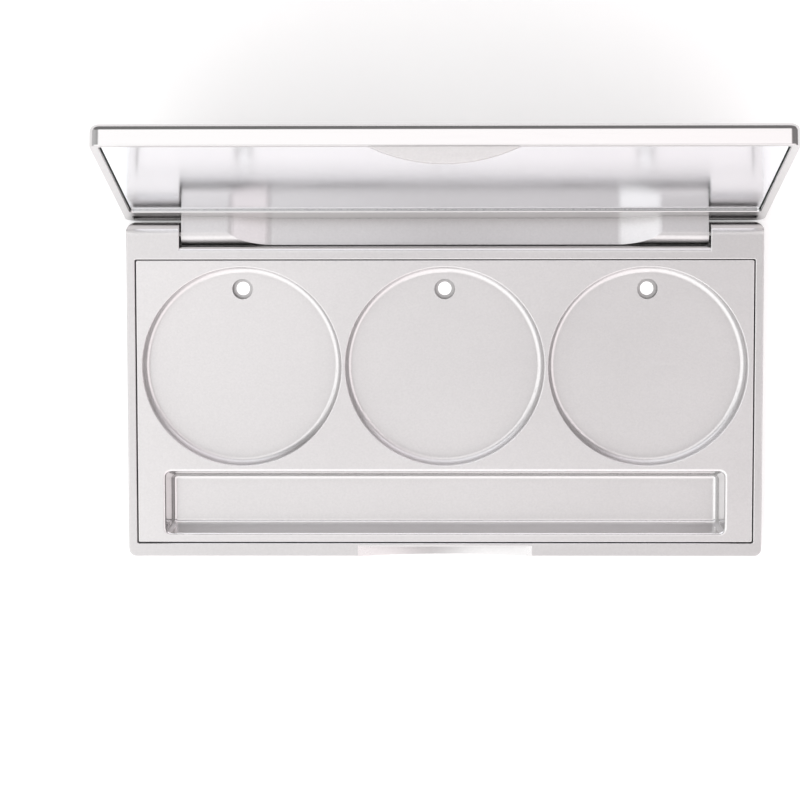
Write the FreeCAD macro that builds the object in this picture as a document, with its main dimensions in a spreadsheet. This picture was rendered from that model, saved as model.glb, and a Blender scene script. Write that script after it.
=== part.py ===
"""Hinged makeup palette: a lower case with a three-pan tray, and a lid with a mirror.

Millimetres. The origin is the centre of the base's underside, +X runs to the right, +Y to the
hinge and +Z up. The lid is drawn in its closed place and then turned back about the hinge axis
to its open stop.
"""
import FreeCAD, Part
import math
import os
import Sketcher

DIMENSIONS = [
    ("body_width", 120.0, "width of the base"),
    ("lid_width", 121.2, "width of the lid, which overhangs the base at both sides"),
    ("body_depth", 63.3, "depth of base and lid, front to back"),
    ("plan_round", 1.5, "corner radius of the base in plan"),
    ("lid_round", 1.8, "corner radius of the lid in plan"),
    ("edge_round", 1.2, "radius round the underside of the base and the top of the lid"),
    ("small_round", 0.2, "radius on the rims' edges"),
    ("base_height", 7.0, "underside to rim"),
    ("base_floor", 1.2, "thickness of the base's floor"),
    ("tray_gap", 0.15, "gap all round the tray"),
    ("tray_width", 116.5, "width of the tray"),
    ("tray_front", -28.95, "front edge of the tray"),
    ("tray_back", 24.65, "back edge of the tray"),
    ("tray_top", 6.8, "height of the tray's upper face"),
    ("tray_plate", 1.0, "thickness of the tray's plate and of the well floors"),
    ("tray_wall", 0.9, "thickness of the walls round the wells and the trough"),
    ("tray_round", 0.3, "corner radius of the tray in plan"),
    ("well_radius", 18.8, "radius of a pan well"),
    ("well_pitch", 38.35, "distance between neighbouring wells"),
    ("well_back", 4.53, "distance of the wells' centres behind the origin"),
    ("well_depth", 3.4, "depth of a pan well"),
    ("well_foot", 1.2, "radius at the foot of a well"),
    ("hole_back", 14.45, "distance of a push-out hole behind its well's centre"),
    ("hole_radius", 1.95, "radius of the push-out hole in the tray"),
    ("poke_radius", 1.25, "radius of the smaller hole below it in the base"),
    ("trough_width", 106.0, "width of the brush trough at its mouth"),
    ("trough_front", -27.3, "front edge of the trough's mouth"),
    ("trough_back", -15.4, "back edge of the trough's mouth"),
    ("trough_depth", 4.4, "depth of the trough"),
    ("trough_draft", 1.2, "how far the sides and the back wall lean in"),
    ("trough_lean", 1.7, "how far the front wall leans in"),
    ("trough_round", 1.0, "radius at the trough's corners and all round its foot"),
    ("mouth_round", 0.6, "radius round the trough's mouth"),
    ("magnet_radius", 5.0, "radius of a disc magnet"),
    ("magnet_height", 1.0, "thickness of a disc magnet"),
    ("ring_inner", 5.1, "inner radius of the ring that holds a magnet"),
    ("ring_outer", 6.2, "outer radius of that ring"),
    ("axis_back", 29.4, "distance of the hinge axis behind the origin"),
    ("axis_height", 4.0, "height of the hinge axis"),
    ("barrel_radius", 2.0, "radius of the hinge barrel"),
    ("slot_half", 50.0, "half width of the slot between the hinge blocks"),
    ("slot_front", 27.2, "front wall of the slot"),
    ("slot_floor", 1.33, "height of the slot's floor, which the open lid all but touches"),
    ("slot_round", 1.1, "radius of the land's back edge"),
    ("block_round", 2.25, "radius of the blocks' back edge"),
    ("pin_radius", 0.6, "radius of a hinge pin"),
    ("pin_clearance", 0.03, "radial clearance of a pin in the lid's knuckle"),
    ("pin_inner", 43.5, "where a pin ends inside the knuckle"),
    ("pin_outer", 59.4, "where a pin ends inside the block"),
    ("bore_inner", 43.0, "where the bore in a knuckle ends"),
    ("scoop_width", 33.0, "width of the thumb scoop"),
    ("scoop_depth", 3.7, "depth of the thumb scoop"),
    ("scoop_wall", -29.75, "inner wall of the thumb scoop"),
    ("lid_gap", 0.1, "gap between the closed lid's rim and the base's"),
    ("lid_height", 4.0, "thickness of the lid"),
    ("recess_width", 118.0, "width of the recess for the mirror"),
    ("recess_front", -30.25, "front edge of that recess, with the lid closed"),
    ("recess_back", 23.9, "back edge of that recess, with the lid closed"),
    ("recess_depth", 2.0, "depth of that recess"),
    ("mirror_gap", 0.15, "gap all round the mirror"),
    ("mirror_height", 1.2, "thickness of the mirror"),
    ("mirror_round", 0.6, "corner radius of the mirror"),
    ("mirror_bevel", 0.15, "ground bevel on the mirror's edge"),
    ("tape_height", 0.3, "thickness of the adhesive sheet"),
    ("tape_margin", 2.0, "how far the adhesive sheet stops short of the mirror's edge"),
    ("relief_front", 27.4, "front edge of the reliefs over the blocks"),
    ("relief_back", 30.65, "back edge of the reliefs over the blocks"),
    ("relief_inner", 50.2, "inner end of a relief"),
    ("relief_outer", 58.85, "outer end of a relief"),
    ("relief_depth", 1.5, "depth of a relief"),
    ("tongue_half", 49.7, "half width of the hinge tongue"),
    ("knuckle_inner", 41.0, "where a full knuckle starts to thin"),
    ("thin_outer", 32.7, "where the thin middle of the tongue begins"),
    ("ramp_angle", 16.0, "slope in degrees from a knuckle down to the thin middle"),
    ("tab_width", 26.0, "width of the thumb tab"),
    ("tab_depth", 3.0, "how far the thumb tab reaches below the lid's rim"),
    ("tab_height", 0.9, "thickness of the thumb tab"),
    ("bead_width", 8.0, "width of the catch bead on the tab"),
    ("bead_height", 0.6, "height of the catch bead"),
    ("bead_proud", 0.3, "how far the catch bead stands proud"),
    ("open_angle", 104.0, "angle from closed to the open stop"),
]

FUSE = "0.3"         # how far an added piece reaches into its body, so that the two fuse
BEYOND = "1"         # how far a cut runs past the face that it opens
TOLERANCE = 1e-4     # slack when an edge is looked up by its place

RIM = "dims.base_height + dims.lid_gap"
HALF_DEPTH = "dims.body_depth / 2"
WELL_FLOOR = "dims.tray_top - dims.well_depth"
WELL_UNDERSIDE = "dims.tray_top - dims.well_depth - dims.tray_plate"
PLATE_UNDERSIDE = "dims.tray_top - dims.tray_plate"
SIDES = {"left": -1, "middle": 0, "right": 1}

document = FreeCAD.newDocument("makeup_palette")


def fill_sheet():
    """Puts the driving dimensions into the sheet, one named cell each."""
    sheet = document.addObject("Spreadsheet::Sheet", "dims")
    for row, (alias, size, meaning) in enumerate(DIMENSIONS, start=1):
        sheet.set(f"A{row}", meaning)
        sheet.set(f"B{row}", str(size))
        sheet.setAlias(f"B{row}", alias)
    document.recompute()
    return sheet


dims = fill_sheet()


def value(expression):
    """The number that an expression over the sheet gives now."""
    return float(dims.evalExpression(expression))


def new_body(label):
    """An empty body named after its piece."""
    body = document.addObject("PartDesign::Body", label)
    body.Label = label
    return body


def new_sketch(body, name, plane="XY_Plane", offset="0"):
    """A sketch on one of the body's own origin planes, moved along the plane's normal."""
    sketch = body.newObject("Sketcher::SketchObject", name)
    support = next(item for item in body.Origin.OriginFeatures if item.Role == plane)
    sketch.AttachmentSupport = [(support, "")]
    sketch.MapMode = "FlatFace"
    sketch.setExpression("AttachmentOffset.Base.z", offset)
    return sketch


def bind(sketch, kind, references, expression):
    """Adds a dimension to a sketch and ties it to the sheet."""
    index = sketch.addConstraint(Sketcher.Constraint(kind, *references, value(expression)))
    sketch.setExpression(f"Constraints[{index}]", expression)


def add_circle(sketch, across, along, radius):
    """A circle in a sketch, given by the expressions for its centre and radius."""
    centre = FreeCAD.Vector(value(across), value(along), 0)
    normal = FreeCAD.Vector(0, 0, 1)
    circle = sketch.addGeometry(Part.Circle(centre, normal, value(radius)))
    bind(sketch, "DistanceX", (-1, 1, circle, 3), across)
    bind(sketch, "DistanceY", (-1, 1, circle, 3), along)
    bind(sketch, "Radius", (circle,), radius)


def arc_between(start, end, radius, turn):
    """The short arc from start to end that bends left (turn 1) or right (turn -1)."""
    chord = end - start
    rise = math.sqrt(max(radius ** 2 - (chord.Length / 2) ** 2, 0))
    aside = FreeCAD.Vector(-chord.y, chord.x, 0).normalize()
    centre = (start + end) / 2 + aside * (rise * turn)
    first, last = (start, end) if turn > 0 else (end, start)
    angles = [math.atan2(point.y - centre.y, point.x - centre.x) for point in (first, last)]
    circle = Part.Circle(centre, FreeCAD.Vector(0, 0, 1), radius)
    return Part.ArcOfCircle(circle, angles[0], angles[1])


def add_outline(sketch, corners):
    """A closed outline through corners (x, y), or (x, y, radius, turn) where an arc leaves one."""
    points = [FreeCAD.Vector(value(corner[0]), value(corner[1]), 0) for corner in corners]
    ends = []
    for index, corner in enumerate(corners):
        start = points[index]
        end = points[(index + 1) % len(points)]
        if len(corner) == 2:
            edge = sketch.addGeometry(Part.LineSegment(start, end))
            ends.append((edge, 1, 2))
            continue
        arc = arc_between(start, end, value(corner[2]), corner[3])
        edge = sketch.addGeometry(arc)
        ends.append((edge, 1, 2) if corner[3] > 0 else (edge, 2, 1))
    for index, (edge, start, end) in enumerate(ends):
        following = ends[(index + 1) % len(ends)]
        sketch.addConstraint(Sketcher.Constraint("Coincident", edge, end, following[0], following[1]))
    for corner, (edge, start, end) in zip(corners, ends):
        bind(sketch, "DistanceX", (-1, 1, edge, start), corner[0])
        bind(sketch, "DistanceY", (-1, 1, edge, start), corner[1])
        if len(corner) > 2:
            bind(sketch, "Radius", (edge,), corner[2])


def rectangle(half, low, high):
    """Corners of a rectangle that is symmetric left to right."""
    return [(f"-({half})", low), (half, low), (half, high), (f"-({half})", high)]


def rounded_rectangle(half, low, high, radius):
    """Corners of a rounded rectangle that is symmetric left to right."""
    return [
        (f"-({half}) + ({radius})", low),
        (f"({half}) - ({radius})", low, radius, 1),
        (half, f"({low}) + ({radius})"),
        (half, f"({high}) - ({radius})", radius, 1),
        (f"({half}) - ({radius})", high),
        (f"-({half}) + ({radius})", high, radius, 1),
        (f"-({half})", f"({high}) - ({radius})"),
        (f"-({half})", f"({low}) + ({radius})", radius, 1),
    ]


def extrude(body, kind, name, sketch, length, reverse=False):
    """Pads or pockets a sketch, and checks that the solid grew or shrank as it should."""
    before = 0 if body.Shape.isNull() else body.Shape.Volume
    feature = body.newObject(f"PartDesign::{kind}", name)
    feature.Profile = sketch
    feature.setExpression("Length", length)
    feature.Reversed = reverse
    document.recompute()
    change = body.Shape.Volume - before
    if (change > 0) != (kind == "Pad") or change == 0:
        raise RuntimeError(f"{name} changed the volume of {body.Label} by {change}")
    return feature


def pad(body, name, sketch, length, reverse=False):
    return extrude(body, "Pad", name, sketch, length, reverse)


def pocket(body, name, sketch, length, reverse=False):
    return extrude(body, "Pocket", name, sketch, length, reverse)


def finish_edges(body, kind, name, size, chosen):
    """Rounds or bevels those edges of the body's last feature that chosen() picks."""
    last = body.Tip
    numbered = enumerate(last.Shape.Edges, start=1)
    edges = [f"Edge{number}" for number, edge in numbered if chosen(edge.BoundBox)]
    feature = body.newObject(f"PartDesign::{kind}", name)
    feature.Base = (last, edges)
    feature.setExpression("Radius" if kind == "Fillet" else "Size", size)
    document.recompute()


def lies_at(low, high, level):
    """True if the span from low to high is flat and at the given level."""
    return abs(low - level) < TOLERANCE and abs(high - level) < TOLERANCE


def at_height(expression):
    """A test for edges that lie flat at one height."""
    level = value(expression)
    return lambda box: lies_at(box.ZMin, box.ZMax, level)


def well_centre(side):
    """Expressions for the centre of the left, middle or right well."""
    return f"{side} * dims.well_pitch", "dims.well_back"


def build_base_shell():
    body = new_body("base_shell")
    half = "dims.body_width / 2"
    outline = new_sketch(body, "base_outline")
    corners = rounded_rectangle(half, f"-({HALF_DEPTH})", HALF_DEPTH, "dims.plan_round")
    add_outline(outline, corners)
    pad(body, "base_block", outline, "dims.base_height")
    finish_edges(body, "Fillet", "base_edge", "dims.edge_round", at_height("0"))
    cut_tray_well(body)
    cut_thumb_scoop(body)
    finish_edges(body, "Fillet", "rim_edges", "dims.small_round", at_height("dims.base_height"))
    cut_hinge_slot(body)
    add_magnet_rings(body)
    cut_poke_holes(body)
    cut_block_bores(body)
    return body


def cut_tray_well(body):
    """The hollow that the tray drops into."""
    sketch = new_sketch(body, "tray_hollow_outline", offset="dims.base_height")
    half = "dims.tray_width / 2 + dims.tray_gap"
    low = "dims.tray_front - dims.tray_gap"
    high = "dims.tray_back + dims.tray_gap"
    add_outline(sketch, rounded_rectangle(half, low, high, "dims.tray_round"))
    pocket(body, "tray_hollow", sketch, "dims.base_height - dims.base_floor")


def cut_hinge_slot(body):
    """The slot between the hinge blocks, with a rounded land in front, and the blocks' round backs."""
    past_back = f"{HALF_DEPTH} + {BEYOND}"
    past_top = f"dims.base_height + {BEYOND}"
    land_end = "dims.slot_front - dims.slot_round"
    slot = new_sketch(body, "slot_outline", "YZ_Plane", "dims.slot_half")
    add_outline(slot, [
        (land_end, "dims.base_height", "dims.slot_round", -1),
        ("dims.slot_front", "dims.base_height - dims.slot_round"),
        ("dims.slot_front", "dims.slot_floor"),
        (past_back, "dims.slot_floor"),
        (past_back, past_top),
        (land_end, past_top),
    ])
    pocket(body, "slot", slot, "2 * dims.slot_half")
    top_end = f"{HALF_DEPTH} - dims.block_round"
    backs = new_sketch(body, "block_back_outline", "YZ_Plane", f"dims.body_width / 2 + {BEYOND}")
    add_outline(backs, [
        (top_end, "dims.base_height", "dims.block_round", -1),
        (HALF_DEPTH, "dims.base_height - dims.block_round"),
        (past_back, "dims.base_height - dims.block_round"),
        (past_back, past_top),
        (top_end, past_top),
    ])
    pocket(body, "block_backs", backs, f"dims.body_width + 2 * {BEYOND}")
    half = value("dims.slot_half")
    level = value("dims.base_height")

    def beside_slot(box):
        return abs(abs(box.XMin) - half) < TOLERANCE and lies_at(box.ZMin, box.ZMax, level)

    finish_edges(body, "Fillet", "block_edges", "dims.small_round", beside_slot)


def cut_thumb_scoop(body):
    """A shallow arc in the front rim, which leaves a thin wall behind it."""
    sketch = new_sketch(body, "scoop_outline", "XZ_Plane", "-dims.scoop_wall")
    half = "dims.scoop_width / 2"
    radius = "(dims.scoop_width ^ 2 / 4 + dims.scoop_depth ^ 2) / (2 * dims.scoop_depth)"
    past_top = f"dims.base_height + {BEYOND}"
    add_outline(sketch, [
        (f"-{half}", "dims.base_height", radius, 1),
        (half, "dims.base_height"),
        (half, past_top),
        (f"-{half}", past_top),
    ])
    reach = f"{HALF_DEPTH} + dims.scoop_wall + {BEYOND}"
    pocket(body, "scoop", sketch, reach, reverse=True)


def add_magnet_rings(body):
    """Rings on the floor that hold the magnets and carry the well floors."""
    sketch = new_sketch(body, "ring_outlines", offset="dims.base_floor")
    for side in SIDES.values():
        across, along = well_centre(side)
        add_circle(sketch, across, along, "dims.ring_outer")
        add_circle(sketch, across, along, "dims.ring_inner")
    pad(body, "rings", sketch, f"{WELL_UNDERSIDE} - dims.base_floor")


def cut_poke_holes(body):
    """The small holes in the floor, one under each push-out hole of the tray."""
    sketch = new_sketch(body, "poke_hole_outlines", offset="dims.base_floor")
    for side in SIDES.values():
        across, along = well_centre(side)
        add_circle(sketch, across, f"{along} + dims.hole_back", "dims.poke_radius")
    pocket(body, "poke_holes", sketch, f"dims.base_floor + {BEYOND}")


def cut_block_bores(body):
    """One bore line through both hinge blocks, which grip the pins."""
    sketch = new_sketch(body, "block_bore_outline", "YZ_Plane", f"dims.body_width / 2 + {BEYOND}")
    add_circle(sketch, "dims.axis_back", "dims.axis_height", "dims.pin_radius")
    pocket(body, "block_bores", sketch, f"dims.body_width + 2 * {BEYOND}")


def build_pan_tray():
    body = new_body("pan_tray")
    plate = new_sketch(body, "plate_outline", offset=PLATE_UNDERSIDE)
    half = "dims.tray_width / 2"
    corners = rounded_rectangle(half, "dims.tray_front", "dims.tray_back", "dims.tray_round")
    add_outline(plate, corners)
    pad(body, "plate", plate, "dims.tray_plate")
    for name, side in SIDES.items():
        cup = new_sketch(body, f"cup_outline_{name}", offset=WELL_UNDERSIDE)
        across, along = well_centre(side)
        add_circle(cup, across, along, "dims.well_radius + dims.tray_wall")
        pad(body, f"cup_{name}", cup, f"{PLATE_UNDERSIDE} - ({WELL_UNDERSIDE})")
    add_trough_box(body)
    cut_wells(body)
    cut_trough(body)
    finish_tray_edges(body)
    return body


def add_trough_box(body):
    """The walls and floor that surround the brush trough, and the skirt that stands on the base's floor."""
    sketch = new_sketch(body, "trough_box_outline", offset="dims.base_floor")
    half = "dims.trough_width / 2 + dims.tray_wall"
    low = "dims.trough_front - dims.tray_wall"
    high = "dims.trough_back + dims.tray_wall"
    add_outline(sketch, rounded_rectangle(half, low, high, "dims.trough_round + dims.tray_wall"))
    pad(body, "trough_box", sketch, f"{PLATE_UNDERSIDE} - dims.base_floor")
    underside = "dims.tray_top - dims.trough_depth - dims.tray_wall"
    hollow = new_sketch(body, "trough_hollow_outline", offset=underside)
    add_outline(hollow, rounded_rectangle("dims.trough_width / 2", "dims.trough_front", "dims.trough_back",
                                          "dims.trough_round"))
    pocket(body, "trough_hollow", hollow, f"{underside} - dims.base_floor + {BEYOND}")


def cut_wells(body):
    """The three pan wells, and the push-out hole near the back of each."""
    wells = new_sketch(body, "well_outlines", offset="dims.tray_top")
    holes = new_sketch(body, "push_out_outlines", offset=WELL_FLOOR)
    for side in SIDES.values():
        across, along = well_centre(side)
        add_circle(wells, across, along, "dims.well_radius")
        add_circle(holes, across, f"{along} + dims.hole_back", "dims.hole_radius")
    pocket(body, "wells", wells, "dims.well_depth")
    pocket(body, "push_out_holes", holes, f"dims.tray_plate + {BEYOND}")


def cut_trough(body):
    """The brush trough, whose walls lean in towards the floor and meet in rounded corners."""
    before = body.Shape.Volume
    half = "dims.trough_width / 2"
    mouth = new_sketch(body, "trough_mouth", offset="dims.tray_top")
    add_outline(mouth, rectangle(half, "dims.trough_front", "dims.trough_back"))
    floor = new_sketch(body, "trough_floor", offset="dims.tray_top - dims.trough_depth")
    low = "dims.trough_front + dims.trough_lean"
    high = "dims.trough_back - dims.trough_draft"
    add_outline(floor, rectangle(f"{half} - dims.trough_draft", low, high))
    document.recompute()
    loft = body.newObject("PartDesign::SubtractiveLoft", "trough")
    loft.Profile = mouth
    loft.Sections = [floor]
    loft.Ruled = True
    document.recompute()
    if body.Shape.Volume >= before:
        raise RuntimeError("the trough removed nothing")
    depth = value("dims.trough_depth")
    trough_floor = at_height("dims.tray_top - dims.trough_depth")
    trough_back = value("dims.trough_back")

    def at_corner_or_foot(box):
        at_corner = abs(box.ZLength - depth) < TOLERANCE
        return at_corner or (trough_floor(box) and box.YMax < trough_back)

    finish_edges(body, "Fillet", "trough_rounds", "dims.trough_round", at_corner_or_foot)


def finish_tray_edges(body):
    """Rounds the feet of the wells and the trough's mouth, and softens the edges of the upper face."""
    hole_size = 3 * value("dims.hole_radius")
    well_floor = at_height(WELL_FLOOR)
    top = at_height("dims.tray_top")
    trough_front = value("dims.trough_front")
    trough_back = value("dims.trough_back")

    def at_well_foot(box):
        return well_floor(box) and box.XLength > hole_size

    def at_mouth(box):
        beyond_front = box.YMin > trough_front - TOLERANCE
        return top(box) and beyond_front and box.YMax < trough_back + TOLERANCE

    def at_upper_edge(box):
        return top(box) and not at_mouth(box)

    finish_edges(body, "Fillet", "well_feet", "dims.well_foot", at_well_foot)
    finish_edges(body, "Fillet", "mouth_edges", "dims.mouth_round", at_mouth)
    finish_edges(body, "Fillet", "upper_edges", "dims.small_round", at_upper_edge)


def build_disc(label, radius, height):
    """A plain cylinder whose size is tied to the sheet."""
    disc = document.addObject("Part::Cylinder", label)
    disc.Label = label
    disc.setExpression("Radius", radius)
    disc.setExpression("Height", height)
    return disc


def build_magnets():
    """One disc magnet on the floor inside each ring."""
    magnets = []
    for name, side in SIDES.items():
        magnet = build_disc(f"well_magnet_{name}", "dims.magnet_radius", "dims.magnet_height")
        across, along = well_centre(side)
        place = FreeCAD.Vector(value(across), value(along), value("dims.base_floor"))
        magnet.Placement = FreeCAD.Placement(place, FreeCAD.Rotation())
        magnets.append(magnet)
    return magnets


def build_pins():
    """A steel pin through each hinge block into the lid's knuckle."""
    pins = []
    starts = {"left": "-dims.pin_outer", "right": "dims.pin_inner"}
    along_x = FreeCAD.Rotation(FreeCAD.Vector(0, 1, 0), 90)
    for name, start in starts.items():
        pin = build_disc(f"hinge_pin_{name}", "dims.pin_radius", "dims.pin_outer - dims.pin_inner")
        place = FreeCAD.Vector(value(start), value("dims.axis_back"), value("dims.axis_height"))
        pin.Placement = FreeCAD.Placement(place, along_x)
        pins.append(pin)
    return pins


def open_lid(piece):
    """Turns a piece of the lid from its closed place to the open stop."""
    axis = FreeCAD.Rotation(FreeCAD.Vector(1, 0, 0), -value("dims.open_angle"))
    centre = FreeCAD.Vector(0, value("dims.axis_back"), value("dims.axis_height"))
    piece.Placement = FreeCAD.Placement(FreeCAD.Vector(), axis, centre)


def build_lid_shell():
    body = new_body("lid_shell")
    outline = new_sketch(body, "lid_outline", offset=RIM)
    half = "dims.lid_width / 2"
    corners = rounded_rectangle(half, f"-({HALF_DEPTH})", HALF_DEPTH, "dims.lid_round")
    add_outline(outline, corners)
    pad(body, "lid_block", outline, "dims.lid_height")
    top = at_height(f"{RIM} + dims.lid_height")
    finish_edges(body, "Fillet", "lid_edge", "dims.edge_round", top)
    cut_mirror_recess(body)
    cut_block_reliefs(body)
    rim = at_height(RIM)
    finish_edges(body, "Fillet", "lid_rim_edges", "dims.small_round", rim)
    add_tongue(body)
    thin_tongue(body)
    cut_knuckle_bores(body)
    add_thumb_tab(body)
    open_lid(body)
    return body


def cut_mirror_recess(body):
    """The shallow recess in the lid's underside that takes the mirror."""
    sketch = new_sketch(body, "recess_outline", offset=RIM)
    half = "dims.recess_width / 2"
    corners = rounded_rectangle(half, "dims.recess_front", "dims.recess_back", "dims.mirror_round")
    add_outline(sketch, corners)
    pocket(body, "recess", sketch, "dims.recess_depth", reverse=True)


def cut_block_reliefs(body):
    """Pockets over the hinge blocks, which leave a thin back wall."""
    sketch = new_sketch(body, "relief_outlines", offset=RIM)
    for sign in ("-", ""):
        inner = f"{sign}dims.relief_inner"
        outer = f"{sign}dims.relief_outer"
        add_outline(sketch, [
            (inner, "dims.relief_front"),
            (outer, "dims.relief_front"),
            (outer, "dims.relief_back"),
            (inner, "dims.relief_back"),
        ])
    pocket(body, "reliefs", sketch, "dims.relief_depth", reverse=True)


def add_tongue(body):
    """The hinge tongue: a flat bar below the lid's rim whose lower edge is the barrel."""
    front = "dims.axis_back - dims.barrel_radius"
    back = "dims.axis_back + dims.barrel_radius"
    top = f"{RIM} + {FUSE}"
    sketch = new_sketch(body, "tongue_outline", "YZ_Plane", "-dims.tongue_half")
    add_outline(sketch, [
        (front, top),
        (front, "dims.axis_height", "dims.barrel_radius", 1),
        ("dims.axis_back", "dims.axis_height - dims.barrel_radius", "dims.barrel_radius", 1),
        (back, "dims.axis_height"),
        (back, top),
    ])
    pad(body, "tongue", sketch, "2 * dims.tongue_half")


def thin_tongue(body):
    """Takes the front half off the tongue's middle, with a straight ramp and two arcs at each end."""
    front = "dims.axis_back - dims.barrel_radius"
    past_front = f"{front} - {BEYOND}"
    run = "(dims.knuckle_inner - dims.thin_outer)"
    slope = "dims.ramp_angle"
    radius = f"(({run} - dims.barrel_radius / tan({slope})) / (2 * tan({slope} / 2)))"
    arc_run = f"({radius} * sin({slope}))"
    arc_drop = f"({radius} * (1 - cos({slope})))"
    high_x = f"dims.knuckle_inner - {arc_run}"
    low_x = f"dims.thin_outer + {arc_run}"
    high_y = f"{front} + {arc_drop}"
    low_y = f"dims.axis_back - {arc_drop}"
    sketch = new_sketch(body, "thinning_outline", offset=RIM)
    add_outline(sketch, [
        ("-dims.knuckle_inner", past_front),
        ("dims.knuckle_inner", past_front),
        ("dims.knuckle_inner", front, radius, -1),
        (high_x, high_y),
        (low_x, low_y, radius, 1),
        ("dims.thin_outer", "dims.axis_back"),
        ("-dims.thin_outer", "dims.axis_back", radius, 1),
        (f"-({low_x})", low_y),
        (f"-({high_x})", high_y, radius, -1),
        ("-dims.knuckle_inner", front),
    ])
    depth = f"{RIM} - dims.axis_height + dims.barrel_radius + {BEYOND}"
    pocket(body, "thinning", sketch, depth)


def cut_knuckle_bores(body):
    """A blind bore in the end of each knuckle, in which the pin runs free."""
    for name, sign in (("left", "-"), ("right", "")):
        place = f"{sign}dims.tongue_half"
        sketch = new_sketch(body, f"knuckle_bore_outline_{name}", "YZ_Plane", place)
        add_circle(sketch, "dims.axis_back", "dims.axis_height", "dims.pin_radius + dims.pin_clearance")
        depth = "dims.tongue_half - dims.bore_inner"
        pocket(body, f"knuckle_bore_{name}", sketch, depth, reverse=name == "left")


def add_thumb_tab(body):
    """The crescent on the lid's front edge, with the small bead of the catch behind it."""
    half = "dims.tab_width / 2"
    radius = "(dims.tab_width ^ 2 / 4 + dims.tab_depth ^ 2) / (2 * dims.tab_depth)"
    tab = new_sketch(body, "tab_outline", "XZ_Plane", "-dims.recess_front")
    add_outline(tab, [
        (f"-{half}", RIM, radius, 1),
        (half, RIM),
        (half, f"{RIM} + {FUSE}"),
        (f"-{half}", f"{RIM} + {FUSE}"),
    ])
    pad(body, "tab", tab, "dims.tab_height")
    middle = f"{RIM} - dims.tab_depth / 2"
    end_round = "dims.bead_height / 2"
    straight = "dims.bead_width / 2 - dims.bead_height / 2"
    bead = new_sketch(body, "bead_outline", "XZ_Plane", "-dims.recess_front")
    add_outline(bead, [
        (f"-({straight})", f"{middle} - {end_round}"),
        (straight, f"{middle} - {end_round}", end_round, 1),
        (f"{straight} + {end_round}", middle, end_round, 1),
        (straight, f"{middle} + {end_round}"),
        (f"-({straight})", f"{middle} + {end_round}", end_round, 1),
        (f"-({straight}) - {end_round}", middle, end_round, 1),
    ])
    pad(body, "bead", bead, "dims.bead_proud", reverse=True)


def build_mirror():
    """The mirror plate, let into the lid with its face just inside the rim."""
    body = new_body("mirror_glass")
    top = f"{RIM} + dims.recess_depth - dims.tape_height"
    face = f"{top} - dims.mirror_height"
    sketch = new_sketch(body, "mirror_outline", offset=face)
    half = "dims.recess_width / 2 - dims.mirror_gap"
    low = "dims.recess_front + dims.mirror_gap"
    high = "dims.recess_back - dims.mirror_gap"
    add_outline(sketch, rounded_rectangle(half, low, high, "dims.mirror_round"))
    pad(body, "mirror_plate", sketch, "dims.mirror_height")
    finish_edges(body, "Chamfer", "bevel", "dims.mirror_bevel", at_height(face))
    open_lid(body)
    return body


def build_tape():
    """The thin adhesive sheet between the mirror and the lid."""
    body = new_body("mirror_tape")
    sketch = new_sketch(body, "tape_outline", offset=f"{RIM} + dims.recess_depth - dims.tape_height")
    inset = "dims.mirror_gap + dims.tape_margin"
    half = f"dims.recess_width / 2 - ({inset})"
    low = f"dims.recess_front + {inset}"
    high = f"dims.recess_back - ({inset})"
    add_outline(sketch, rounded_rectangle(half, low, high, "dims.mirror_round"))
    pad(body, "tape_sheet", sketch, "dims.tape_height")
    open_lid(body)
    return body


def check_document(pieces):
    """Stops if a feature failed or a piece isn't one valid solid."""
    for item in document.Objects:
        if "Invalid" in item.State or "Error" in item.State:
            raise RuntimeError(f"{item.Name} failed: {item.State}")
    for piece in pieces:
        shape = piece.Shape
        if shape.isNull() or not shape.isValid() or len(shape.Solids) != 1:
            raise RuntimeError(f"{piece.Label} isn't one valid solid")


def main():
    pieces = [build_base_shell(), build_pan_tray()]
    pieces += build_magnets()
    pieces += build_pins()
    pieces += [build_lid_shell(), build_mirror(), build_tape()]
    document.recompute()
    check_document(pieces)
    os.makedirs("parts", exist_ok=True)
    for piece in pieces:
        piece.Shape.exportStep(f"parts/{piece.Label}.step")
        box = piece.Shape.BoundBox
        size = f"{box.XLength:.2f} x {box.YLength:.2f} x {box.ZLength:.2f}"
        print(f"{piece.Label}: {size} mm, {piece.Shape.Volume:.0f} cubic mm, lowest {box.ZMin:.2f}")


main()
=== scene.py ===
"""The looks of an open makeup palette: satin silver plastic case and tray, a mirror in the lid.

The CAD pieces keep their shapes, and every one gets a procedural material. Lengths are in metres.
"""

import math

import bpy
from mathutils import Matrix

# Camera: almost straight above the palette, a little behind its middle and tilted to its front.
CAMERA_PLACE = (0.00062, 0.05644, 0.59335)
CAMERA_TURN = (-5.671, 0.877, -0.100)
CAMERA_LENS = 140.32
SENSOR_WIDTH = 36.0
CLIP_START = 0.01
CLIP_END = 60.0

# Light: a softbox overhead, seen as a bright ring round a dim middle and dark outside the ring.
# Distances are sines of the angle from the zenith, measured in X and Y as seen from above.
# The dim middle lies a little to the right and to the front.
ZENITH_LEVEL = 0.52
RING_LEVEL = 1.60
HOLE_MIDDLE = (0.12, -0.05, 0.0)
HOLE_EDGE = 0.05
RING_START = 0.42
# The ring fades out here, and reaches further in front than at the sides.
RING_END = 0.80
OUTER_START = 0.92
FRONT_STRETCH = 0.82
# Outside the ring the light falls off from left to right.
OUTER_LEFT_LEVEL = 0.75
OUTER_RIGHT_LEVEL = 0.30
OUTER_LEFT = -0.9
OUTER_RIGHT = 0.2
# The ring ends sooner at the back, and its two back corners are cut away.
BACK_LEVEL = 0.26
BACK_START = 0.52
BACK_END = 0.64
BACK_HALF_START = 0.24
BACK_HALF_END = 0.36
BACK_CORNER_START = 0.22
BACK_CORNER_END = 0.34
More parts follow.
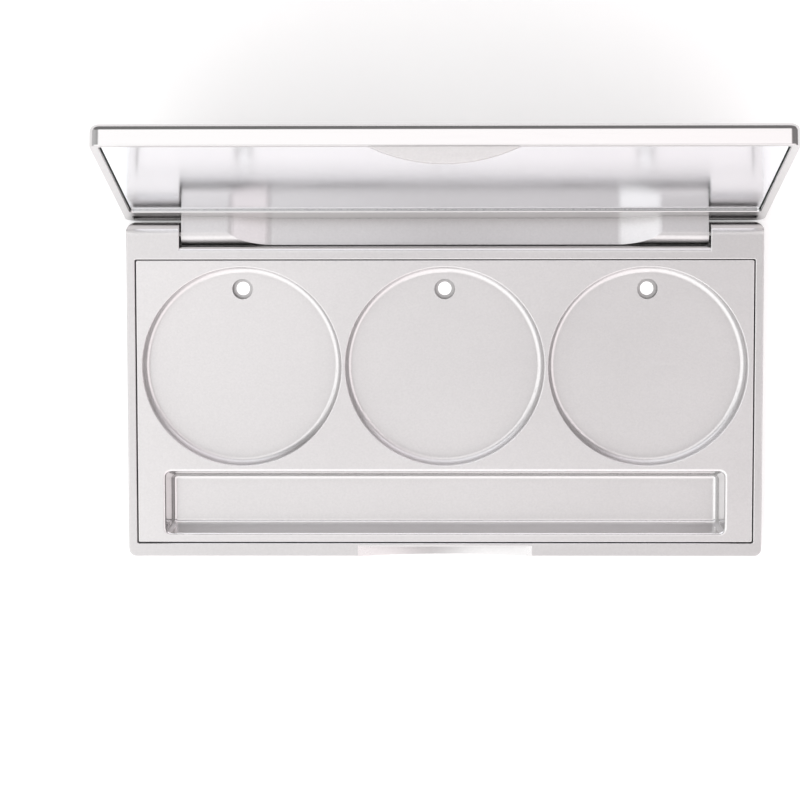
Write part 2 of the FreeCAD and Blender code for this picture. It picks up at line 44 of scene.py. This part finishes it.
# The ring's left is a little brighter, and the light turns slightly pink to the right.
SIDE_REACH = 0.35
LEFT_GAIN = 1.03
RIGHT_GAIN = 0.98
TINT_LEFT = -0.15
TINT_RIGHT = 0.25
LEFT_COLOUR = (1.0, 1.0, 1.0)
RIGHT_COLOUR = (1.0, 0.945, 0.955)

# Floor: a pale light table that glows a little, more so in a patch hidden under the base.
WHITE = (1.0, 1.0, 1.0)
FLOOR_SIZE = 30.0
FLOOR_GLOW = 0.33
PAD_GLOW = 1.05
PAD_HALF_WIDTH = 0.050
PAD_HALF_DEPTH = 0.024
PAD_FADE = 0.003
FLOOR_ALBEDO = 0.85
FLOOR_ROUGHNESS = 0.9
MOTTLE_SCALE = 30.0
MOTTLE_SHARE = 0.01

# Most values of a noise texture lie between these two.
NOISE_LOW = 0.3
NOISE_HIGH = 0.7

# Painted edge highlight, and a smoother polish on edges: the cosine between rounded and true normal,
# where an edge starts and ends, and its patches.
EDGE_START = 0.995
EDGE_END = 0.90
EDGE_PATCH_SCALE = 700.0
EDGE_PATCH_START = 0.35
EDGE_PATCH_END = 0.62
EDGE_PATCH_LEAST = 0.25

# Painted crevice shade, which darkens the colour in narrow gaps and at the foot of walls: how far around
# a point is looked, and the open shares where the shade starts and ends.
CREVICE_REACH = 0.002
GAP_CLOSED = 0.08
GAP_OPEN = 0.42
GAP_PAINTED_SHADE = 0.22
FOOT_CLOSED = 0.45
FOOT_OPEN = 0.95
FOOT_PAINTED_SHADE = 0.84

# Satin silver plastic: textured flats, and polished walls and edges.
FLAT_SILVER = (0.700, 0.687, 0.688)
WALL_SILVER = (0.68, 0.672, 0.672)
# Lighter colour painted on edges as a highlight.
EDGE_HIGHLIGHT_SILVER = (0.80, 0.79, 0.785)
FLAT_METALLIC = 0.84
WALL_METALLIC = 1.0
FLAT_ROUGHNESS = 0.30
WALL_ROUGHNESS = 0.13
WALL_START = 0.97
WALL_END = 0.80
FLAKE_SCALE = 3600.0
FLAKE_SPARKLE = 0.02
FLAKE_POLISH = 0.015
FLAKE_HEIGHT = 0.55
GRAIN_SCALE = 2400.0
GRAIN_SHARE = 0.015
CLOUD_SCALE = 16.0
CLOUD_SHARE = 0.015
HAIRLINE_SCALES = (60.0, 2600.0, 2600.0)
HAIRLINE_START = 0.56
HAIRLINE_END = 0.72
HAIRLINE_ROUGHNESS = 0.03
HANDLED_START = 0.35
HANDLED_END = 0.65
HANDLED_LEAST = -0.01
HANDLED_MOST = 0.015
EDGE_SMOOTHING = 0.04
WALL_HEIGHT = 0.15
BUMP_HEIGHT = 0.0000005
EDGE_RADIUS = 0.0003
CASE_TONE = 0.92
LID_TONE = 0.93

# Where walls are polished: in the tray only as far back as the trough, and in the lid only behind the
# plane of its rim, so that the tongue and the tab in front of it are textured all over. The base has
# no limit.
LID_LEAN = math.radians(14.0)
UPWARD = (0.0, 0.0, 1.0)
BACKWARD = (0.0, 1.0, 0.0)
LID_FACING = (0.0, -math.cos(LID_LEAN), math.sin(LID_LEAN))
TRAY_POLISH_LIMIT = -0.0149
LID_POLISH_LIMIT = -0.0306
NO_LIMIT = 1.0

# Mirror: a silvered face with haze and dust, and ground edges where the normal's Y part is small.
MIRROR_SILVER = (0.94, 0.952, 0.985)
MIRROR_DUST = (0.86, 0.86, 0.86)
MIRROR_EDGE = (0.66, 0.71, 0.69)
MIRROR_EDGE_METALLIC = 0.35
MIRROR_SIDE_START = 0.80
MIRROR_SIDE_END = 0.93
MIRROR_POLISH = (0.13, 0.17)
MIRROR_EDGE_POLISH = (0.30, 0.45)
HAZE_SCALE = 55.0
DUST_SCALE = 420.0
DUST_INNER = 0.05
DUST_OUTER = 0.09
DUST_SHARE = 0.5
GROUND_SCALE = 1500.0
GROUND_HEIGHT = 0.000004

# Nickel plate on the magnets.
NICKEL = (0.70, 0.69, 0.66)
# Lighter colour painted on edges as a highlight.
EDGE_HIGHLIGHT_NICKEL = (0.86, 0.85, 0.83)
NICKEL_TONES = (0.92, 1.05)
NICKEL_POLISH = (0.16, 0.30)
NICKEL_EDGE = 0.0002
PIT_SCALE = 2600.0
PIT_HEIGHT = 0.000003
NICKEL_CLOUD_SCALE = 160.0

# Drawn steel of the pins, with lines along X.
STEEL = (0.58, 0.57, 0.56)
# Lighter colour painted on edges as a highlight.
EDGE_HIGHLIGHT_STEEL = (0.80, 0.79, 0.78)
STEEL_TONES = (0.85, 1.10)
STEEL_POLISH = (0.24, 0.36)
STEEL_EDGE = 0.0001
DRAWN_SCALES = (90.0, 9000.0, 9000.0)
DRAWN_HEIGHT = 0.000002
STEEL_CLOUD_SCALE = 220.0

# Foam tape behind the mirror.
TAPE_WHITE = (0.82, 0.81, 0.78)
TAPE_AGED = (0.74, 0.72, 0.66)
TAPE_ROUGHNESS = (0.75, 0.90)
TAPE_CELL_SCALE = 5200.0
TAPE_CELL_HEIGHT = 0.00003
TAPE_CLOUD_SCALE = 120.0


class Graph:
    """A node tree with short calls. An input takes a number, a tuple or another node's output."""

    def __init__(self, tree):
        self.tree = tree
        tree.nodes.clear()

    def put(self, socket, entry):
        if isinstance(entry, bpy.types.NodeSocket):
            self.tree.links.new(entry, socket)
        elif socket.type == "RGBA":
            socket.default_value = tuple(entry) + (1.0,)
        else:
            socket.default_value = entry

    def node(self, kind, inputs=None, **settings):
        made = self.tree.nodes.new("ShaderNode" + kind)
        for key, setting in settings.items():
            setattr(made, key, setting)
        for key, entry in (inputs or {}).items():
            self.put(made.inputs[key], entry)
        return made

    def math(self, operation, a, b=0.0, clamp=False):
        made = self.node("Math", {0: a, 1: b}, operation=operation, use_clamp=clamp)
        return made.outputs[0]

    def spread(self, entry, low, high, to_low, to_high, curve="LINEAR"):
        """Maps low to high onto to_low to to_high, and stays between them."""
        made = self.node("MapRange", {0: entry, 1: low, 2: high, 3: to_low, 4: to_high},
                         interpolation_type=curve)
        return made.outputs[0]

    def smooth(self, entry, low, high, to_low, to_high):
        """The same with soft ends."""
        return self.spread(entry, low, high, to_low, to_high, curve="SMOOTHSTEP")

    def spread_noise(self, noise, to_low, to_high):
        """Maps the usual values of a noise texture onto to_low to to_high."""
        return self.spread(noise, NOISE_LOW, NOISE_HIGH, to_low, to_high)

    def mix(self, factor, a, b):
        """Goes from colour a to colour b. A Mix node keeps its colours at 6 and 7, and gives output 2."""
        made = self.node("Mix", data_type="RGBA")
        self.put(made.inputs[0], factor)
        self.put(made.inputs[6], a)
        self.put(made.inputs[7], b)
        return made.outputs[2]

    def blend(self, factor, a, b):
        """The same for plain numbers, which a Mix node keeps at 2 and 3, with output 0."""
        made = self.node("Mix", data_type="FLOAT")
        self.put(made.inputs[0], factor)
        self.put(made.inputs[2], a)
        self.put(made.inputs[3], b)
        return made.outputs[0]

    def dim(self, colour, factor):
        """A colour times a number."""
        made = self.node("VectorMath", {0: colour, "Scale": factor}, operation="SCALE")
        return made.outputs[0]

    def dot(self, a, b):
        return self.node("VectorMath", {0: a, 1: b}, operation="DOT_PRODUCT").outputs["Value"]

    def length(self, vector):
        return self.node("VectorMath", {0: vector}, operation="LENGTH").outputs["Value"]

    def coordinates(self, kind):
        return self.node("TexCoord").outputs[kind]

    def noise(self, place, scale, detail=2.0, roughness=0.5):
        inputs = {"Vector": place, "Scale": scale, "Detail": detail, "Roughness": roughness}
        return self.node("TexNoise", inputs).outputs[0]

    def cells(self, place, scale):
        return self.node("TexVoronoi", {"Vector": place, "Scale": scale}, feature="F1")

    def streaks(self, place, scales, detail):
        """Noise that is drawn out along the axis with the smallest scale."""
        stretched = self.node("Mapping", {"Vector": place, "Scale": scales}).outputs[0]
        return self.noise(stretched, 1.0, detail, roughness=0.6)


def new_material(name):
    material = bpy.data.materials.new(name)
    material.use_nodes = True
    graph = Graph(material.node_tree)
    shader = graph.node("BsdfPrincipled")
    output = graph.node("OutputMaterial")
    graph.put(output.inputs["Surface"], shader.outputs[0])
    return material, graph, shader


def set_bump(graph, shader, relief, height):
    bump = graph.node("Bump", {"Height": relief, "Strength": 1.0, "Distance": height})
    graph.put(shader.inputs["Normal"], bump.outputs[0])


def edge_mask(graph, place, radius):
    """1 on an edge, where a lighter colour is painted as a highlight, and 0 on a flat, broken up by
    noise.
    """
    bevel = graph.node("Bevel", {"Radius": radius}, samples=4)
    geometry = graph.node("NewGeometry")
    facing = graph.dot(bevel.outputs[0], geometry.outputs["Normal"])
    bent = graph.spread(facing, EDGE_START, EDGE_END, 0.0, 1.0)
    patches = graph.noise(place, EDGE_PATCH_SCALE, detail=4.0, roughness=0.65)
    broken = graph.spread(patches, EDGE_PATCH_START, EDGE_PATCH_END, EDGE_PATCH_LEAST, 1.0)
    return graph.math("MULTIPLY", bent, broken)


def wall_mask(graph, place, facing, zone_way, zone_limit):
    """1 on the polished walls and rounded edges, and 0 on textured faces.

    Faces that lie square to facing are textured, and so is all that lies past zone_limit along zone_way.
    """
    square = graph.dot(graph.coordinates("Normal"), facing)
    wall = graph.smooth(graph.math("ABSOLUTE", square), WALL_START, WALL_END, 0.0, 1.0)
    inside = graph.math("LESS_THAN", graph.dot(place, zone_way), zone_limit)
    return graph.math("MULTIPLY", wall, inside)


def painted_crevice_shade(graph, wall):
    """Painted shade: 1 in the open, less at the foot of a textured wall, and least deep inside a narrow
    gap.
    """
    occlusion = graph.node("AmbientOcclusion", {"Distance": CREVICE_REACH}, samples=6)
    open_share = occlusion.outputs["AO"]
    deep = graph.spread(open_share, GAP_CLOSED, GAP_OPEN, GAP_PAINTED_SHADE, 1.0)
    foot = graph.spread(open_share, FOOT_CLOSED, FOOT_OPEN, FOOT_PAINTED_SHADE, 1.0)
    return graph.math("MULTIPLY", deep, graph.blend(wall, foot, 1.0))


def silver_plastic(name, facing, zone_way=UPWARD, zone_limit=NO_LIMIT, tone=1.0):
    """Moulded plastic sprayed with fine aluminium flake: textured flats and polished walls."""
    material, graph, shader = new_material(name)
    place = graph.coordinates("Object")
    flake = graph.node("SeparateColor", {0: graph.cells(place, FLAKE_SCALE).outputs["Color"]})
    grain = graph.noise(place, GRAIN_SCALE, detail=3.0, roughness=0.6)
    cloud = graph.noise(place, CLOUD_SCALE, detail=3.0)
    hairline = graph.streaks(place, HAIRLINE_SCALES, detail=2.0)
    wall = wall_mask(graph, place, facing, zone_way, zone_limit)
    edge = edge_mask(graph, place, EDGE_RADIUS)

    sparkle = graph.spread(flake.outputs[0], 0.0, 1.0, 1.0 - FLAKE_SPARKLE, 1.0 + FLAKE_SPARKLE)
    drift = graph.spread_noise(cloud, 1.0 - CLOUD_SHARE, 1.0 + CLOUD_SHARE)
    grit = graph.spread_noise(grain, 1.0 - GRAIN_SHARE, 1.0 + GRAIN_SHARE)
    shade = graph.math("MULTIPLY", graph.math("MULTIPLY", sparkle, drift), grit)
    body = graph.mix(wall, graph.dim(FLAT_SILVER, shade), graph.dim(WALL_SILVER, drift))
    # Painted highlight: the edges are lighter.
    highlighted_body = graph.mix(edge, body, EDGE_HIGHLIGHT_SILVER)
    # Painted shade darkens the colour in narrow gaps and at the foot of walls, and the part's tone scales
    # it too.
    painted_shade_and_tone = graph.math("MULTIPLY", painted_crevice_shade(graph, wall), tone)
    graph.put(shader.inputs["Base Color"], graph.dim(highlighted_body, painted_shade_and_tone))
    graph.put(shader.inputs["Metallic"], graph.spread(wall, 0.0, 1.0, FLAT_METALLIC, WALL_METALLIC))

    satin = graph.spread(flake.outputs[1], 0.0, 1.0,
                         FLAT_ROUGHNESS - FLAKE_POLISH, FLAT_ROUGHNESS + FLAKE_POLISH)
    polish = graph.blend(wall, satin, WALL_ROUGHNESS)
    scuffs = graph.spread(hairline, HAIRLINE_START, HAIRLINE_END, 0.0, HAIRLINE_ROUGHNESS)
    scuffed = graph.math("ADD", polish, scuffs)
    touched = graph.spread(cloud, HANDLED_START, HANDLED_END, HANDLED_LEAST, HANDLED_MOST)
    handled = graph.math("ADD", scuffed, touched)
    smoothed_edges = graph.math("MULTIPLY", edge, EDGE_SMOOTHING)
    graph.put(shader.inputs["Roughness"], graph.math("SUBTRACT", handled, smoothed_edges, clamp=True))

    relief = graph.math("ADD", graph.math("MULTIPLY", flake.outputs[2], FLAKE_HEIGHT), grain)
    textured = graph.math("MULTIPLY", relief, graph.spread(wall, 0.0, 1.0, 1.0, WALL_HEIGHT))
    set_bump(graph, shader, textured, BUMP_HEIGHT)
    return material


def mirror_material():
    """A silvered glass pane: a bright face with a little haze, and ground grey-green edges."""
    material, graph, shader = new_material("mirror_glass")
    place = graph.coordinates("Object")
    haze = graph.noise(place, HAZE_SCALE, detail=4.0, roughness=0.55)
    specks = graph.cells(place, DUST_SCALE)
    dust = graph.spread(specks.outputs["Distance"], DUST_INNER, DUST_OUTER, 1.0, 0.0)
    normal = graph.node("SeparateXYZ", {0: graph.coordinates("Normal")})
    # The open pane stands almost upright, so its two faces are the ones with a large Y part.
    upright = graph.math("ABSOLUTE", normal.outputs[1])
    side = graph.smooth(upright, MIRROR_SIDE_START, MIRROR_SIDE_END, 1.0, 0.0)
    ground = graph.noise(place, GROUND_SCALE, detail=3.0, roughness=0.6)
    silvered = graph.mix(graph.math("MULTIPLY", dust, DUST_SHARE), MIRROR_SILVER, MIRROR_DUST)
    graph.put(shader.inputs["Base Color"], graph.mix(side, silvered, MIRROR_EDGE))
    graph.put(shader.inputs["Metallic"], graph.spread(side, 0.0, 1.0, 1.0, MIRROR_EDGE_METALLIC))
    face_polish = graph.spread_noise(haze, *MIRROR_POLISH)
    edge_polish = graph.spread_noise(ground, *MIRROR_EDGE_POLISH)
    graph.put(shader.inputs["Roughness"], graph.blend(side, face_polish, edge_polish))
    set_bump(graph, shader, graph.math("MULTIPLY", ground, side), GROUND_HEIGHT)
    return material


def finish_metal(graph, shader, relief, height, body, cloud, polish):
    """Sets the inputs that the two bare metals share."""
    graph.put(shader.inputs["Base Color"], body)
    graph.put(shader.inputs["Metallic"], 1.0)
    graph.put(shader.inputs["Roughness"], graph.spread_noise(cloud, *polish))
    set_bump(graph, shader, relief, height)


def nickel_material():
    """Nickel plate on a pressed magnet: fine pits, a cloudy polish and edges made pale by a painted
    highlight.
    """
    material, graph, shader = new_material("nickel_plate")
    place = graph.coordinates("Object")
    pits = graph.noise(place, PIT_SCALE, detail=3.0, roughness=0.6)
    cloud = graph.noise(place, NICKEL_CLOUD_SCALE, detail=3.0)
    edge = edge_mask(graph, place, NICKEL_EDGE)
    plate = graph.dim(NICKEL, graph.spread_noise(pits, *NICKEL_TONES))
    # Painted highlight: the edges are lighter.
    body = graph.mix(edge, plate, EDGE_HIGHLIGHT_NICKEL)
    finish_metal(graph, shader, pits, PIT_HEIGHT, body, cloud, NICKEL_POLISH)
    return material


def steel_material():
    """Drawn steel wire: lines along X and a little variation in polish."""
    material, graph, shader = new_material("drawn_steel")
    place = graph.coordinates("Object")
    drawn = graph.streaks(place, DRAWN_SCALES, detail=3.0)
    cloud = graph.noise(place, STEEL_CLOUD_SCALE)
    edge = edge_mask(graph, place, STEEL_EDGE)
    wire = graph.dim(STEEL, graph.spread_noise(drawn, *STEEL_TONES))
    # Painted highlight: the edges are lighter.
    body = graph.mix(edge, wire, EDGE_HIGHLIGHT_STEEL)
    finish_metal(graph, shader, drawn, DRAWN_HEIGHT, body, cloud, STEEL_POLISH)
    return material


def tape_material():
    """White foam tape: open cells, slightly yellow where it has aged."""
    material, graph, shader = new_material("foam_tape")
    place = graph.coordinates("Object")
    cells = graph.cells(place, TAPE_CELL_SCALE)
    cloud = graph.noise(place, TAPE_CLOUD_SCALE, detail=3.0, roughness=0.6)
    aged = graph.spread_noise(cloud, 0.0, 1.0)
    graph.put(shader.inputs["Base Color"], graph.mix(aged, TAPE_WHITE, TAPE_AGED))
    graph.put(shader.inputs["Roughness"], graph.spread_noise(cloud, *TAPE_ROUGHNESS))
    set_bump(graph, shader, cells.outputs["Distance"], TAPE_CELL_HEIGHT)
    return material


def floor_material():
    """A pale light table with a very faint mottle, and a brighter patch under the base."""
    material, graph, shader = new_material("pale_floor")
    place = graph.coordinates("Object")
    mottle = graph.noise(place, MOTTLE_SCALE)
    level = graph.spread_noise(mottle, FLOOR_ALBEDO - MOTTLE_SHARE, FLOOR_ALBEDO + MOTTLE_SHARE)
    graph.put(shader.inputs["Base Color"], graph.dim(WHITE, level))
    graph.put(shader.inputs["Roughness"], FLOOR_ROUGHNESS)
    graph.put(shader.inputs["Specular IOR Level"], 0.0)
    graph.put(shader.inputs["Emission Color"], WHITE)
    part = graph.node("SeparateXYZ", {0: place})
    glow = PAD_GLOW - FLOOR_GLOW
    for along, half in ((part.outputs[0], PAD_HALF_WIDTH), (part.outputs[1], PAD_HALF_DEPTH)):
        inside = graph.smooth(graph.math("ABSOLUTE", along), half - PAD_FADE, half, 1.0, 0.0)
        glow = graph.math("MULTIPLY", inside, glow)
    graph.put(shader.inputs["Emission Strength"], graph.math("ADD", glow, FLOOR_GLOW))
    return material


def set_material(obj, material):
    """Makes this the only material of a CAD piece."""
    obj.data.materials.clear()
    obj.data.materials.append(material)


def dress_nodes(nodes):
    case_silver = silver_plastic("satin_silver_case", UPWARD, tone=CASE_TONE)
    tray_silver = silver_plastic("satin_silver_tray", UPWARD, BACKWARD, TRAY_POLISH_LIMIT)
    lid_silver = silver_plastic("satin_silver_lid", LID_FACING, LID_FACING, LID_POLISH_LIMIT,
                                tone=LID_TONE)
    nickel = nickel_material()
    steel = steel_material()
    set_material(nodes["base_shell"], case_silver)
    set_material(nodes["pan_tray"], tray_silver)
    set_material(nodes["lid_shell"], lid_silver)
    set_material(nodes["mirror_glass"], mirror_material())
    set_material(nodes["mirror_tape"], tape_material())
    for side in ("left", "middle", "right"):
        set_material(nodes["well_magnet_" + side], nickel)
    for side in ("left", "right"):
        set_material(nodes["hinge_pin_" + side], steel)


def add_floor():
    half = FLOOR_SIZE / 2
    mesh = bpy.data.meshes.new("floor")
    corners = [(-half, -half, 0.0), (half, -half, 0.0), (half, half, 0.0), (-half, half, 0.0)]
    mesh.from_pydata(corners, [], [(0, 1, 2, 3)])
    floor = bpy.data.objects.new("floor", mesh)
    bpy.context.scene.collection.objects.link(floor)
    mesh.materials.append(floor_material())


def ring_level(graph, way, across):
    """The softbox's level: dim at its middle and bright towards its rim."""
    flat_way = graph.node("VectorMath", {0: way, 1: (1.0, 1.0, 0.0)}, operation="MULTIPLY")
    aside = graph.node("VectorMath", {0: flat_way.outputs[0], 1: HOLE_MIDDLE},
                       operation="SUBTRACT")
    from_hole = graph.length(aside.outputs[0])
    rise = graph.smooth(from_hole, HOLE_EDGE, RING_START, ZENITH_LEVEL, RING_LEVEL)
    gain = graph.spread(across, -SIDE_REACH, SIDE_REACH, LEFT_GAIN, RIGHT_GAIN)
    return graph.math("MULTIPLY", rise, gain)


def tent_level(graph, way, across, back):
    """The light's level by direction: the ring, the darker outside and the dark back."""
    ring = ring_level(graph, way, across)
    outer = graph.spread(across, OUTER_LEFT, OUTER_RIGHT, OUTER_LEFT_LEVEL, OUTER_RIGHT_LEVEL)
    # In front, where back is negative, the shorter of the two lets the ring reach further out.
    ahead = graph.math("MAXIMUM", back, graph.math("MULTIPLY", back, FRONT_STRETCH))
    reach = graph.length(graph.node("CombineXYZ", {0: across, 1: ahead}).outputs[0])
    fall = graph.smooth(reach, RING_END, OUTER_START, 0.0, 1.0)
    tent = graph.blend(fall, ring, outer)
    sideways = graph.math("ABSOLUTE", across)
    wide = graph.smooth(sideways, BACK_HALF_START, BACK_HALF_END, 0.0, 1.0)
    behind = graph.smooth(back, BACK_CORNER_START, BACK_CORNER_END, 0.0, 1.0)
    narrowed = graph.blend(graph.math("MULTIPLY", wide, behind), tent, outer)
    past_back = graph.smooth(back, BACK_START, BACK_END, 0.0, 1.0)
    return graph.blend(past_back, narrowed, BACK_LEVEL)


def light_tent():
    """The world: brightness and tint by direction only."""
    world = bpy.data.worlds.new("light_tent")
    bpy.context.scene.world = world
    world.use_nodes = True
    graph = Graph(world.node_tree)
    way = graph.coordinates("Generated")
    part = graph.node("SeparateXYZ", {0: way})
    across = part.outputs[0]
    level = tent_level(graph, way, across, part.outputs[1])
    side = graph.spread(across, TINT_LEFT, TINT_RIGHT, 0.0, 1.0)
    tint = graph.mix(side, LEFT_COLOUR, RIGHT_COLOUR)
    background = graph.node("Background", {"Color": tint, "Strength": level})
    output = graph.node("OutputWorld")
    graph.put(output.inputs["Surface"], background.outputs[0])


def add_camera():
    data = bpy.data.cameras.new("camera")
    data.sensor_width = SENSOR_WIDTH
    data.lens = CAMERA_LENS
    data.clip_start = CLIP_START
    data.clip_end = CLIP_END
    camera = bpy.data.objects.new("camera", data)
    bpy.context.scene.collection.objects.link(camera)
    camera.location = CAMERA_PLACE
    camera.rotation_euler = [math.radians(angle) for angle in CAMERA_TURN]
    bpy.context.scene.camera = camera


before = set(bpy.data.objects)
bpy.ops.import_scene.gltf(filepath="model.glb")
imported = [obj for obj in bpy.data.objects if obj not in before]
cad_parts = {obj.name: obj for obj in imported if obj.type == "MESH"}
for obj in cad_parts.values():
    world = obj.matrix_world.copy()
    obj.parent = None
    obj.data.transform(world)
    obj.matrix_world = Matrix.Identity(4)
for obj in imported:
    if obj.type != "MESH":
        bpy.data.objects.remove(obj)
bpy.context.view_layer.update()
dress_nodes(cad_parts)
add_floor()
light_tent()
add_camera()
bpy.context.scene.view_settings.view_transform = "Standard"
